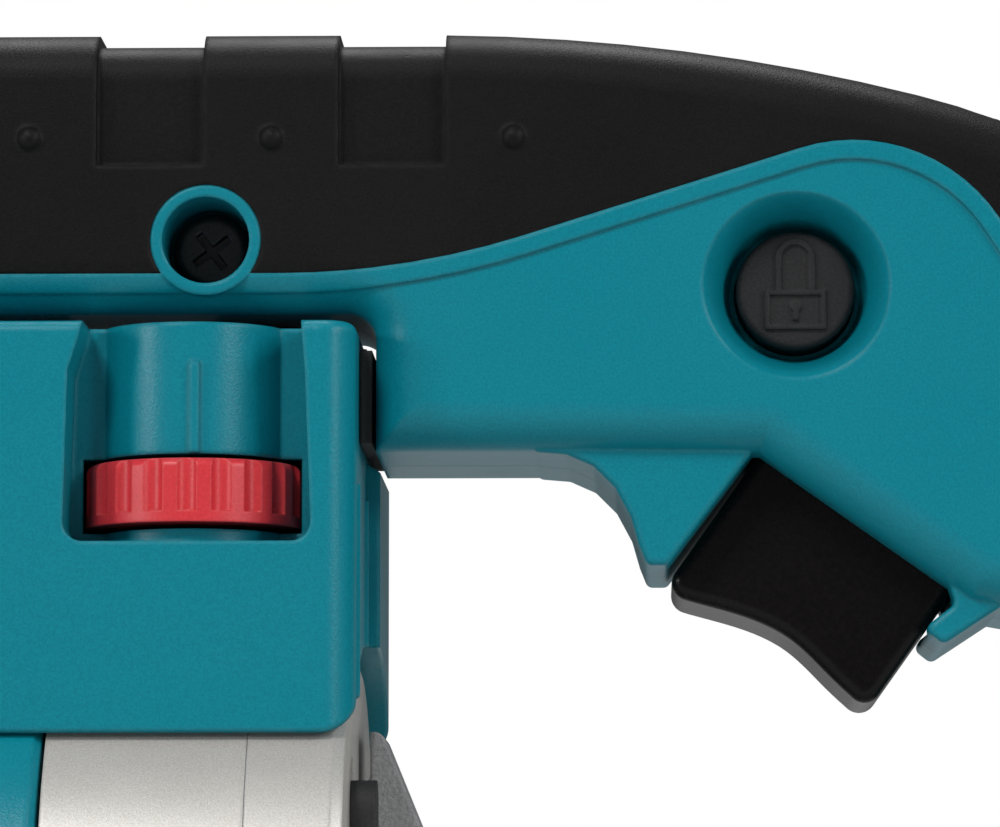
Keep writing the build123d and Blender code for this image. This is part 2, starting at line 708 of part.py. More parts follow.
with BuildPart() as end_cover:
    add(turned_x((bell_rear_x + 0.05, 9.55), (bell_rear_x + 0.05, case_r - 0.3),
                 (cover_rear_x - 1.6, case_r - 0.3), (cover_rear_x - 0.45, case_r - 0.9),
                 (cover_rear_x, case_r - 2.2), (cover_rear_x, 12.5), (cover_rear_x + 1.2, 11.5),
                 (cover_rear_x + 1.2, 0.0), (cover_rear_x - 2, 0.0), (cover_rear_x - 2, 9.55)))
    with BuildSketch(Plane.YZ.offset(cover_rear_x + 2)):
        with Locations((0, axis_z)):
            with PolarLocations(cover_screw_r, 4, 45):
                Circle(3.4)
    extrude(amount=-4.5, mode=Mode.SUBTRACT)
    with BuildSketch(Plane.YZ.offset(cover_rear_x + 2)):
        with Locations((0, axis_z)):
            with PolarLocations(cover_screw_r, 4, 45):
                Circle(1.6 + slip)
    extrude(amount=-14, mode=Mode.SUBTRACT)

with BuildPart() as end_cover_screws:
    for turn in range(4):
        angle = math.radians(45 + 90 * turn)
        seat_y = cover_screw_r * math.cos(angle)
        seat_z = axis_z + cover_screw_r * math.sin(angle)
        seat = Plane(
            origin=(cover_rear_x - 2.5, seat_y, seat_z),
            x_dir=(0, 0.8, 0.6),
            z_dir=(1, 0, 0),
        )
        add(pan_screw(seat, 3.1, 2.2, 1.6, 12))

with BuildPart() as stator_core:
    with BuildSketch(Plane.YZ.offset(stack_front_x)):
        with Locations((0, axis_z)):
            Circle(stator_r)
            Circle(armature_r + air_gap, mode=Mode.SUBTRACT)
        # Windows for the field coils on both sides of the bore
        with Locations((-coil_window_y, axis_z), (coil_window_y, axis_z)):
            Rectangle(6.4, 25.6, mode=Mode.SUBTRACT)
    extrude(amount=stack_rear_x - stack_front_x)

with BuildPart() as field_coils:
    for side in (-1, 1):
        coil_y = side * coil_window_y
        add(block(stack_front_x - 5, stack_rear_x + 4, coil_y - 2.4, coil_y + 2.4, axis_z - 12, axis_z + 12))
    fillet(field_coils.edges().filter_by(Axis.Y), 3.0)

with BuildPart() as armature_shaft:
    add(turned_x((12, 0), (12, 2.6), (16.6, 2.6), (16.6, shaft_r), (130.4, shaft_r), (130.4, 3.0),
                 (136.9, 3.0), (136.9, 0)))

with BuildPart() as armature_core:
    add(turned_x((stack_front_x, shaft_r), (stack_front_x, armature_r), (stack_rear_x, armature_r),
                 (stack_rear_x, shaft_r)))
    with BuildSketch(Plane.YZ.offset(stack_front_x - 1)):
        with Locations((0, axis_z)):
            with PolarLocations(armature_r - 0.6, 12):
                Rectangle(2.0, 1.6)
            with PolarLocations(armature_r - 4.6, 12):
                Circle(2.1)
    extrude(amount=stack_rear_x - stack_front_x + 2, mode=Mode.SUBTRACT)

with BuildPart() as armature_windings:
    for x0, x1 in ((stack_front_x - 7, stack_front_x), (stack_rear_x, stack_rear_x + 4.6)):
        add(turned_x((x0, shaft_r + 1), (x0, armature_r - 5), (x0 + 1.6, armature_r - 2.4),
                     (x1 - 1.2, armature_r - 2.4), (x1, armature_r - 3.4), (x1, shaft_r + 1)))
    with BuildSketch(Plane.YZ.offset(stack_front_x)):
        with Locations((0, axis_z)):
            with PolarLocations(armature_r - 4.6, 12):
                Circle(2.0)
    extrude(amount=stack_rear_x - stack_front_x)

with BuildPart() as commutator:
    bar_x0, bar_x1 = commutator_x
    add(turned_x((bar_x0, shaft_r), (bar_x0, 11), (bar_x0 + 1.6, 11), (bar_x0 + 1.6, 10.2), (bar_x1, 10.2),
                 (bar_x1, shaft_r)))
    with BuildSketch(Plane.YZ.offset(bar_x0 - 1)):
        with Locations((0, axis_z)):
            with PolarLocations(10.8, 24):
                Rectangle(2.4, 0.4)
    extrude(amount=16, mode=Mode.SUBTRACT)

with BuildPart() as cooling_fan:
    add(turned_x((fan_x, shaft_r), (fan_x, 24.5), (fan_x + 1.2, 24.5), (fan_x + 1.4, 8), (fan_x + 6.2, 7),
                 (fan_x + 6.2, shaft_r)))
    for turn in range(11):
        angle = math.radians(360 / 11 * turn)
        blade_plane = Plane(
            origin=(fan_x + 0.6, 0, axis_z),
            x_dir=(1, 0, 0),
            z_dir=(0, math.cos(angle), math.sin(angle)),
        )
        with BuildSketch(blade_plane.offset(9)):
            with Locations((2.6, 0)):
                Rectangle(5.2, 1.2)
        extrude(amount=15.5)


def bearing_section(start, end, outer_r, inner_r):
    """The section of a shielded ball bearing as (along, radius) points."""
    race = 0.24 * (outer_r - inner_r)
    return [
        (start, inner_r + slip), (start, inner_r + race), (start + 0.7, inner_r + race),
        (start + 0.7, outer_r - race), (start, outer_r - race), (start, outer_r), (end, outer_r),
        (end, outer_r - race), (end - 0.7, outer_r - race), (end - 0.7, inner_r + race),
        (end, inner_r + race), (end, inner_r + slip),
    ]


with BuildPart() as bearings:
    add(turned_x(*bearing_section(*front_bearing_x, 11.0, shaft_r)))
    add(turned_x(*bearing_section(130.6, 135.8, 9.5, 3.0)))
    add(turned_y(*bearing_section(-15.0, -9.0, 12.0, spindle_r)))
    add(turned_y(*bearing_section(11.8, 16.4, 9.5, 5.0)))

with BuildPart() as carbon_brushes:
    for side in (-1, 1):
        mid_y = side * 16.25
        add(block(brush_x - 2.5, brush_x + 2.5, mid_y - 5.75, mid_y + 5.75, axis_z - 2.6, axis_z + 2.6))

with BuildPart() as brush_holders:
    for side in (-1, 1):
        mid_y = side * 17.55
        add(rod_y(side * 13.4, side * 30.0, brush_x, axis_z, 4.5))
        add(block(brush_x - 2.6, brush_x + 2.6, mid_y - 4.55, mid_y + 4.55, axis_z - 2.7, axis_z + 2.7),
            mode=Mode.SUBTRACT)

with BuildPart() as brush_caps:
    for side in (-1, 1):
        mid_y = side * (case_r + 0.9)
        add(rod_y(side * 30.0, side * (case_r + 1.0), brush_x, axis_z, 4.5))
        add(block(brush_x - 5.5, brush_x + 5.5, mid_y - 1.1, mid_y + 1.1, axis_z - 0.6, axis_z + 0.6),
            mode=Mode.SUBTRACT)

# ---------------------------------------------------------------- gear head

cone = math.atan(pinion_teeth / gear_teeth)
pitch_far = module * gear_teeth / 2
cone_length = pitch_far / math.cos(cone)
tip_angle = math.atan(0.8 * module / cone_length)
root_angle = math.atan(1.25 * module / cone_length)


def gear_star(teeth, reach, pitch_cone, tooth_first):
    """The outline of a bevel gear across its axis, at a distance from the cones' shared tip."""
    root_r = reach * math.tan(pitch_cone - root_angle)
    tip_r = reach * math.tan(pitch_cone + tip_angle)
    step = 2 * math.pi / teeth
    corners = []
    for tooth in range(teeth):
        middle = (tooth + (0 if tooth_first else 0.5)) * step
        for radius, share in ((root_r, -0.36), (tip_r, -0.12), (tip_r, 0.12), (root_r, 0.36)):
            turn = middle + share * step
            corners.append((radius * math.cos(turn), radius * math.sin(turn)))
    return corners


with BuildPart() as bevel_pinion:
    for reach in (pitch_far - 4.6, pitch_far + 0.4):
        with BuildSketch(Plane(origin=(reach, 0, axis_z), x_dir=(0, 1, 0), z_dir=(1, 0, 0))):
            with BuildLine():
                Polyline(*gear_star(pinion_teeth, reach, cone, True), close=True)
            make_face()
    loft(ruled=True)
    add(turned_x((pitch_far + 0.4, 0), (pitch_far + 0.4, 6.2), (pitch_far + 4, 6.2), (pitch_far + 4, 0)))
    add(rod_x(5, 19, 0, axis_z, 2.6), mode=Mode.SUBTRACT)
    add(rod_x(16.6, 30, 0, axis_z, shaft_r), mode=Mode.SUBTRACT)

with BuildPart() as bevel_gear:
    for reach in (3.9, 6.7):
        with BuildSketch(Plane(origin=(0, reach, axis_z), x_dir=(1, 0, 0), z_dir=(0, 1, 0))):
            with BuildLine():
                Polyline(*gear_star(gear_teeth, reach, math.pi / 2 - cone, False), close=True)
            make_face()
    loft(ruled=True)
    add(turned_y((3.0, 0.0), (3.0, pitch_far + 0.4), (6.7, pitch_far + 0.4), (6.7, 0.0)), mode=Mode.INTERSECT)
    add(turned_y((6.7, 0.0), (6.7, pitch_far + 0.4), (9.6, pitch_far + 0.4), (9.6, 9.0), (11.4, 9.0),
                 (11.4, 0)))
    add(rod_y(2, 12, 0, axis_z, spindle_r), mode=Mode.SUBTRACT)

with BuildPart() as spindle:
    add(turned_y((-29.5, 0), (-29.5, 4.4), (-29, 5.0), (-25.0, 5.0), (-25.0, spindle_r), (11.4, spindle_r),
                 (11.4, 5.0), (17.4, 5.0), (17.4, 0)))

# The fork under the gear case that holds the upright
with BuildPart() as fork:
    add(block(54, case_rear_x - 0.4, upright_y - 4.6, upright_y + 4.6, 14, 36))
    fillet(fork.edges().filter_by(Axis.Y), 2.0)

with BuildPart() as gear_case:
    # The barrel around the motor's front, necked down to the spindle boss
    add(turned_x((4, 0), (4, 20.5), (20, 20.5), (34, 27.5), (44, case_r), (case_rear_x - 0.4, case_r),
                 (case_rear_x - 0.4, 0)))
    add(turned_y((-16.5, 0), (-16.5, 19.4), (-15.3, 20.6), (16.4, 20.6), (16.4, 0)))
    # Room beside the head for the knife and its guard, and the seat of the cover
    recess_r = guard_out_r + 0.8
    add(turned_y((-60, 0), (-60, recess_r), (-16.5, recess_r), (-16.5, 0)), mode=Mode.SUBTRACT)
    add(turned_y((16.4, 0), (16.4, 21.6), (40, 21.6), (40, 0)), mode=Mode.SUBTRACT)
    add(fork.part)
    # Fan chamber, bearing seat, gear chamber
    add(turned_x((59.6, 0.0), (59.6, 29.6), (case_rear_x, 29.6), (case_rear_x, 0.0)), mode=Mode.SUBTRACT)
    seat_x0, seat_x1 = front_bearing_x
    add(turned_x((seat_x0, 0.0), (seat_x0, 11.0), (seat_x1, 11.0), (seat_x1, 0.0)), mode=Mode.SUBTRACT)
    add(turned_x((0, 0.0), (0, 8.0), (60, 8.0), (60, 0.0)), mode=Mode.SUBTRACT)
    add(turned_y((-8.9, 0.0), (-8.9, 17.6), (17, 17.6), (17, 0.0)), mode=Mode.SUBTRACT)
    add(turned_y((-15.0, 0.0), (-15.0, 12.0), (-8.8, 12.0), (-8.8, 0.0)), mode=Mode.SUBTRACT)
    add(rod_y(-18, 0, 0, axis_z, 7.2), mode=Mode.SUBTRACT)
    add(block(50, 71, upright_y - upright_t / 2 - slip, upright_y + upright_t / 2 + slip, 12, 27),
        mode=Mode.SUBTRACT)
    for angle in guard_screw_angles:
        screw_x = guard_screw_r * math.cos(math.radians(angle))
        screw_z = axis_z + guard_screw_r * math.sin(math.radians(angle))
        add(rod_y(-20, -12, screw_x, screw_z, 1.5 + slip), mode=Mode.SUBTRACT)
    for x in fork_screw_x:
        add(rod_y(-30, -10, x, fork_screw_z, 1.5 + slip), mode=Mode.SUBTRACT)
    # Outlets for the cooling air
    for turn in range(5):
        add(block(62.0, 65.4, 0, 40, axis_z - 16 + turn * 8.0, axis_z - 12 + turn * 8.0), mode=Mode.SUBTRACT)

with BuildPart() as gear_case_cover:
    add(turned_y((16.5, 0.0), (16.5, 20.6), (18.6, 20.6), (20.0, 19.0), (20.0, 0.0)))
    add(turned_y((11.8, 9.5), (11.8, 17.3), (16.6, 17.3), (16.6, 9.5)))
    add(turned_y((11, 0.0), (11, 9.5), (16.8, 9.5), (16.8, 0.0)), mode=Mode.SUBTRACT)
    add(turned_y((16.7, 0.0), (16.7, 6.5), (17.9, 6.5), (17.9, 0.0)), mode=Mode.SUBTRACT)
    with BuildSketch(Plane(origin=(0, 21, axis_z), x_dir=(1, 0, 0), z_dir=(0, 1, 0))):
        with PolarLocations(15.6, 4, 45):
            Circle(2.6)
    extrude(amount=-2.6, mode=Mode.SUBTRACT)

# ---------------------------------------------------------------- knife

with BuildPart() as round_knife:
    add(turned_y((knife_right_y, knife_bore_r), (knife_right_y, knife_r), (knife_right_y - 0.12, knife_r),
                 (knife_left_y, knife_r - 4.2), (knife_left_y, knife_bore_r)))
    with BuildSketch(Plane.XZ.offset(-knife_right_y)):
        with Locations((0, axis_z)):
            with PolarLocations(11.0, 2):
                Circle(1.5)
    extrude(amount=knife_t + 1, mode=Mode.SUBTRACT)

with BuildPart() as knife_flanges:
    add(turned_y((-16.9, spindle_r), (-16.9, 9.0), (-18.5, 9.0), (-19.5, 14.5), (knife_right_y, 14.5),
                 (knife_right_y, spindle_r)))
    add(turned_y((knife_left_y, spindle_r), (knife_left_y, 14.5), (knife_left_y - 0.9, 14.5),
                 (knife_left_y - 1.8, 10.0), (-25.0, 9.6), (-25.0, spindle_r)))

with BuildPart() as knife_nut:
    with BuildSketch(Plane(origin=(0, -25.0, axis_z), x_dir=(1, 0, 0), z_dir=(0, -1, 0))):
        RegularPolygon(8.0, 6)
        Circle(5.0, mode=Mode.SUBTRACT)
    extrude(amount=4.0)
    # The corners of the hexagon are turned off at the outer end
    add(turned_y((-24, 0.0), (-24, 8.6), (-28.2, 8.6), (-29.4, 6.8), (-29.4, 0.0)), mode=Mode.INTERSECT)


def upper_sector(first, last, reach=70):
    """A wedge about the spindle between two angles from the rear, counted upwards."""
    corners = [(0, axis_z)]
    for share in range(7):
        angle = math.radians(first + (last - first) * share / 6)
        corners.append((reach * math.cos(angle), axis_z + reach * math.sin(angle)))
    return slab(corners, -40, 10)


with BuildPart() as knife_guard:
    add(turned_y((guard_y1, 15.4), (guard_y1, guard_out_r), (guard_y0, guard_out_r), (guard_y0, guard_in_r),
                 (guard_y1 - 2.0, guard_in_r), (guard_y1 - 2.0, 15.4)))
    add(upper_sector(2, 182), mode=Mode.INTERSECT)
    for angle in (35, 65, 115, 145):
        turn = math.radians(angle)
        x = 36 * math.cos(turn)
        z = axis_z + 36 * math.sin(turn)
        add(rod_y(-20, -10, x, z, 4.4), mode=Mode.SUBTRACT)
    for angle in guard_screw_angles:
        screw_x = guard_screw_r * math.cos(math.radians(angle))
        screw_z = axis_z + guard_screw_r * math.sin(math.radians(angle))
        add(rod_y(-20, -10, screw_x, screw_z, 1.6), mode=Mode.SUBTRACT)
    # The front sleeve for the finger guard
    add(block(-63.6, -guard_out_r + 1.2, -26, -17.7, axis_z - 1.9, axis_z + 11))
    add(block(-61.7, -57.9, knife_y - 1.6, knife_y + 1.6, 0, 130), mode=Mode.SUBTRACT)
    add(rod_x(-70, -60, knife_y, axis_z + 5, 1.55), mode=Mode.SUBTRACT)

with BuildPart() as gear_head_screws:
    for turn in range(4):
        angle = math.radians(45 + 90 * turn)
        seat = Plane(
            origin=(15.6 * math.cos(angle), 18.4, axis_z - 15.6 * math.sin(angle)),
            x_dir=(0.8, 0, 0.6), z_dir=(0, 1, 0),
        )
        with BuildSketch(seat):
            Circle(2.45)
        extrude(amount=1.5)
        with BuildSketch(seat.offset(1.5)):
            RegularPolygon(1.2, 6)
        extrude(amount=-1.0, mode=Mode.SUBTRACT)
    for angle in guard_screw_angles:
        turn = math.radians(angle)
        seat = Plane(
            origin=(guard_screw_r * math.cos(turn), guard_y1 - 2.0, axis_z + guard_screw_r * math.sin(turn)),
            x_dir=(0.8, 0, 0.6), z_dir=(0, -1, 0),
        )
        with BuildSketch(seat):
            Circle(2.6)
        extrude(amount=0.9)
        add(cross_recess(seat.offset(0.9), 1.5, 0.6, 0.5), mode=Mode.SUBTRACT)
        with BuildSketch(seat):
            Circle(1.5)
        extrude(amount=-3.2)

with BuildPart() as guard_shoe:
    add(block(-64, -54.6, knife_y - 4.2, knife_y + 4.2, 4.0, 6.6))
    fillet(guard_shoe.edges().filter_by(Axis.Z), 2.5)

with BuildPart() as finger_guard:
    add(block(-61.6, -58.0, knife_y - 1.5, knife_y + 1.5, 5.5, 84))
    fillet(finger_guard.edges().filter_by(Axis.Y), 1.2)
    add(guard_shoe.part)
    add(rod_z(84, 88, -59.8, knife_y, 3.6))
    fillet(finger_guard.edges().filter_by(GeomType.CIRCLE).sort_by(Axis.Z)[-1], 1.2)

with BuildPart() as guard_thumbscrew:
    add(rod_x(-61.68, -60.2 - 6.6, knife_y, axis_z + 5, 1.5))
    with BuildSketch(Plane(origin=(-64.0, knife_y, axis_z + 5), x_dir=(0, 1, 0), z_dir=(-1, 0, 0))):
        Circle(4.2)
        with PolarLocations(4.5, 16):
            Circle(0.5, mode=Mode.SUBTRACT)
    extrude(amount=3.4)

# ---------------------------------------------------------------- sharpener above the knife

with BuildPart() as sharpener_bracket:
    add(block(-6, 6, -36.5, -28.1, sharp_z - 6.5, axis_z + guard_out_r))
    add(block(-7, 7, -30.5, -28.1, axis_z + guard_in_r - 5.5, axis_z + guard_out_r - 0.3))
    add(block(-10, 10, -40, -28.05, sharp_z + 5.4, axis_z + guard_in_r - 8.0), mode=Mode.SUBTRACT)
    add(rod_y(-40, -20, 0, sharp_z, 5.4), mode=Mode.SUBTRACT)
    add(block(-6, 6, -30.4, -28.1, sharp_z - 6.5, sharp_z + 6.0))
    add(rod_y(-40, -20, 0, sharp_z, 2.5 + slip), mode=Mode.SUBTRACT)

with BuildPart() as sharpener_button:
    add(rod_y(-38.5, -26.4, 0, sharp_z, 2.5))
    add(rod_y(-41.5, -38.5, 0, sharp_z, 5.0))
    fillet(sharpener_button.edges().filter_by(GeomType.CIRCLE).sort_by(Axis.Y)[0], 0.8)
    add(rod_y(-27.6, -26.4, 0, sharp_z, 4.4))

with BuildPart() as sharpening_stone:
    add(rod_y(-26.4, knife_left_y - sharp_travel - body_gap, 0, sharp_z, 4.6))
    fillet(sharpening_stone.edges(), 0.4)

with BuildPart() as sharpener_spring:
    for turn in range(6):
        add(rod_y(-38.3 + turn * 1.35, -37.7 + turn * 1.35, 0, sharp_z, 3.9))
    add(rod_y(-39, -30, 0, sharp_z, 3.1), mode=Mode.SUBTRACT)
    add(block(3.15, 3.75, -38.3, -30.95, sharp_z - 0.3, sharp_z + 0.3))

# ---------------------------------------------------------------- base, upright and stand

with BuildPart() as base_plate:
    with BuildSketch(Plane.XY):
        with BuildLine():
            Polyline((plate_front_x, knife_y - 5), (plate_front_x, knife_y + 5), (-48, knife_y + 11),
                     (-20, plate_right_y), (plate_rear_x, plate_right_y), (plate_rear_x, plate_left_y),
                     (-20, plate_left_y), (-48, knife_y - 11), close=True)
        make_face()
        fillet(vertices(), 4.0)
    extrude(amount=plate_t)
    chamfer(base_plate.faces().sort_by(Axis.Z)[-1].edges(), 0.8)
    add(block(-12, 12, knife_y - 1.6, knife_y + 1.6, -1, 5), mode=Mode.SUBTRACT)
    for x in base_screw_x:
        for side in (-1, 1):
            add(rod_z(-1, 5, x, knife_y + side * base_screw_y, 1.5 + slip), mode=Mode.SUBTRACT)
            add(rod_z(-1, 1.3, x, knife_y + side * base_screw_y, 2.9), mode=Mode.SUBTRACT)

with BuildPart() as upright:
    front = []
    for share in range(9):
        angle = math.radians(-74 + 42 * share / 8)
        front.append(((knife_r + 1.6) * math.cos(angle), axis_z + (knife_r + 1.6) * math.sin(angle)))
    add(slab(front + [(54, 26.6), (69.6, 26.6), (72, 20), (94, plate_t)], upright_y - upright_t / 2,
             upright_y + upright_t / 2))
    add(block(60, 92, knife_y - 9.5, knife_y + 9.5, plate_t, plate_t + 2.0))
    for x in base_screw_x:
        for side in (-1, 1):
            add(rod_z(0, 9, x, knife_y + side * base_screw_y, 1.5 + slip), mode=Mode.SUBTRACT)
    for x in fork_screw_x:
        add(rod_y(-30, -10, x, fork_screw_z, 1.5 + slip), mode=Mode.SUBTRACT)
    add(block(0, 200, -60, 0, -20, plate_t), mode=Mode.SUBTRACT)

with BuildPart() as upright_screws:
    for x in base_screw_x:
        for side in (-1, 1):
            y = knife_y + side * base_screw_y
            add(rod_z(0.2, 1.3, x, y, 2.8))
            add(rod_z(0.2, plate_t + 1.9, x, y, 1.5))
            add(cross_recess(Plane(origin=(x, y, 0.2), z_dir=(0, 0, -1)), 1.6, 0.6, 0.7), mode=Mode.SUBTRACT)
    for x in fork_screw_x:
        seat = Plane(origin=(x, upright_y - 4.6, fork_screw_z), x_dir=(0.7, 0, 0.7), z_dir=(0, -1, 0))
        add(pan_screw(seat, 2.8, 1.8, 1.5, 8.6))
    add(rod_y(knife_right_y + 0.3, knife_right_y + 2.75, counter_screw_x, counter_screw_z, 1.2))
    add(rod_y(knife_right_y + 2.75, knife_right_y + 4.0, counter_screw_x, counter_screw_z, 2.2))

with BuildPart() as counter_knife:
    add(slab([(-4, plate_t), (34, plate_t), (30, 9), (14, 12.5), (-2, 4.4)],
             knife_right_y + knife_side_gap, knife_right_y + knife_side_gap + 2.5))
    add(rod_y(-30, 0, counter_screw_x, counter_screw_z, 1.25), mode=Mode.SUBTRACT)

with BuildPart() as rear_stand:
    with BuildSketch(Plane.XZ) as stand_side:
        with BuildLine():
            Polyline((cover_rear_x + 1.2, 78.6), (142.6, 78.6), (173.6, foot_t), (148.5, foot_t),
                     (cover_rear_x + 1.2, 30.0), close=True)
        make_face()
        fillet(stand_side.vertices().sort_by(Axis.Y)[-1:], 1.2)
    extrude(amount=stand_half_w, both=True)
    with BuildSketch(Plane.XZ):
        with BuildLine():
            Polyline((146.4, 52), (149.6, 50.5), (162.4, 16), (153.5, 16), close=True)
        make_face()
    extrude(amount=20, both=True, mode=Mode.SUBTRACT)
    with BuildSketch(Plane.XY.offset(foot_t)):
        with Locations((161, 0)):
            SlotOverall(27, 15)
    extrude(amount=3.0)
    fillet(rear_stand.edges().filter_by(Axis.Z).filter_by(lambda edge: edge.center().X < 143), 0.4)

with BuildPart() as stand_foot:
    with BuildSketch(Plane.XY):
        with Locations((161, 0)):
            SlotOverall(30, 18)
    extrude(amount=foot_t)
    fillet(stand_foot.edges().group_by(Axis.Z)[0], 1.0)

with BuildPart() as rear_bumpers:
    for side in (-1, 1):
        with BuildSketch(Plane.YZ.offset(cover_rear_x)):
            with Locations((side * 20.0, axis_z)):
                SlotOverall(38, 6, rotation=90)
        extrude(amount=2.6)

with BuildPart() as cord_gland:
    add(rod_z(25, 40, gland_x, 0, gland_r - slip))
    add(rod_z(30.4, 33.8, gland_x, 0, gland_r + 1.6))
    add(rod_z(20, 45, gland_x, 0, 3.2), mode=Mode.SUBTRACT)

pieces = {
    "handle_shell_left": handle_shell_left,
    "handle_shell_right": handle_shell_right,
    "grip_overmould_left": grip_overmould_left,
    "grip_overmould_right": grip_overmould_right,
    "handle_screws": handle_screws,
    "handle_dampers": handle_dampers,
    "trigger": trigger,
    "trigger_spring": trigger_spring,
    "switch_body": switch_body,
    "lock_button": lock_button,
    "lock_spring": lock_spring,
    "lock_guide": lock_guide,
    "control_housing_left": control_housing_left,
    "control_housing_right": control_housing_right,
    "control_housing_screws": control_housing_screws,
    "speed_dial": speed_dial,
    "dial_shaft": dial_shaft,
    "potentiometer": potentiometer,
    "speed_controller": speed_controller,
    "capacitor": capacitor,
    "motor_shell": motor_shell,
    "end_bell": end_bell,
    "end_cover": end_cover,
    "end_cover_screws": end_cover_screws,
    "rear_bumpers": rear_bumpers,
    "stator_core": stator_core,
    "field_coils": field_coils,
    "armature_shaft": armature_shaft,
    "armature_core": armature_core,
    "armature_windings": armature_windings,
    "commutator": commutator,
    "cooling_fan": cooling_fan,
    "bearings": bearings,
    "carbon_brushes": carbon_brushes,
    "brush_holders": brush_holders,
    "brush_caps": brush_caps,
    "gear_case": gear_case,
    "gear_case_cover": gear_case_cover,
    "gear_head_screws": gear_head_screws,
    "bevel_pinion": bevel_pinion,
    "bevel_gear": bevel_gear,
    "spindle": spindle,
    "round_knife": round_knife,
    "knife_flanges": knife_flanges,
    "knife_nut": knife_nut,
    "knife_guard": knife_guard,
    "finger_guard": finger_guard,
    "guard_thumbscrew": guard_thumbscrew,
    "sharpener_bracket": sharpener_bracket,
    "sharpener_button": sharpener_button,
    "sharpening_stone": sharpening_stone,
    "sharpener_spring": sharpener_spring,
    "base_plate": base_plate,
    "upright": upright,
    "upright_screws": upright_screws,
    "counter_knife": counter_knife,
    "rear_stand": rear_stand,
    "stand_foot": stand_foot,
    "cord_gland": cord_gland,
}

os.makedirs("parts", exist_ok=True)
for name, piece in pieces.items():
    piece.part.label = name
    export_step(piece.part, f"parts/{name}.step")
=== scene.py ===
import bpy
import json
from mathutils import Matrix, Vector


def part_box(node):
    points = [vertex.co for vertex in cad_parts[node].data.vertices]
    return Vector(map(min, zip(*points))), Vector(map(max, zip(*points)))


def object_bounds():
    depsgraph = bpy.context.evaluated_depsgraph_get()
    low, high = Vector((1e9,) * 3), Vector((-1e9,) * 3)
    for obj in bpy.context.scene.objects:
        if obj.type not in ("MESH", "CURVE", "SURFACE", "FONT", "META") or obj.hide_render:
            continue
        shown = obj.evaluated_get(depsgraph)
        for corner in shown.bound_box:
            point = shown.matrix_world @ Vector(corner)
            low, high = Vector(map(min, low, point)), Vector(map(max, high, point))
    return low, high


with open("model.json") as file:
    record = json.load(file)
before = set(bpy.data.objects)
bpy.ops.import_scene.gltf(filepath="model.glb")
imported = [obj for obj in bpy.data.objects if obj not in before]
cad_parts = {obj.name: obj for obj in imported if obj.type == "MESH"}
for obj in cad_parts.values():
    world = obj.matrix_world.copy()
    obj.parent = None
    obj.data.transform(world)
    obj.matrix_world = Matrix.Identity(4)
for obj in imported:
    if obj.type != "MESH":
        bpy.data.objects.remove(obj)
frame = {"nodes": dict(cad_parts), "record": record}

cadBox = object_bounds()
nodes = frame["nodes"]
print("cutter: frame loaded,", len(nodes), "nodes")


# camera: low on the left-hand side, looking slightly up, with a long lens
camera = {
    "place": (0.1699, -0.600, 0.04503),
    "looks": (-0.02577, 1.0, 0.11117),
    "lens": 210.9,
    "sensor": 36.0,
    "near": 0.01,
    "far": 40.0,
}
camData = bpy.data.cameras.new("cutterCamera")
camData.lens = camera["lens"]
camData.sensor_width = camera["sensor"]
camData.clip_start = camera["near"]
camData.clip_end = camera["far"]
cam = bpy.data.objects.new("cutterCamera", camData)
cam.location = camera["place"]
cam.rotation_mode = "QUATERNION"
cam.rotation_quaternion = Vector(camera["looks"]).to_track_quat("-Z", "Y")
bpy.context.scene.collection.objects.link(cam)
bpy.context.scene.camera = cam


# studio: a pale floor, a white surround and five soft lamps
studio = {
    "floorColor": (0.50, 0.50, 0.50),
    "floorSize": 24.0,
    "floorRoughness": 0.75,
    "skyColor": (1.0, 1.0, 1.0),
    "skyStrength": 0.17,
    "backdrop": 1.0,
}
lamps = {
    "keySoftbox": {"at": (-0.35, -1.05, 1.15), "size": 0.40, "watts": 11.0},
    "rearSoftbox": {"at": (1.10, -0.55, 0.80), "size": 0.45, "watts": 5.0},
    "topSoftbox": {"at": (0.10, 0.35, 1.30), "size": 0.60, "watts": 11.0},
    "frontStrip": {"at": (-0.95, -0.70, 0.35), "size": 0.22, "watts": 3.5},
    "rearStrip": {"at": (1.15, -0.95, 0.45), "size": 0.22, "watts": 3.0},
}
scene = bpy.context.scene
scene.view_settings.view_transform = "Standard"


def newTree(tree):
    tree.nodes.clear()
    return tree.nodes, tree.links


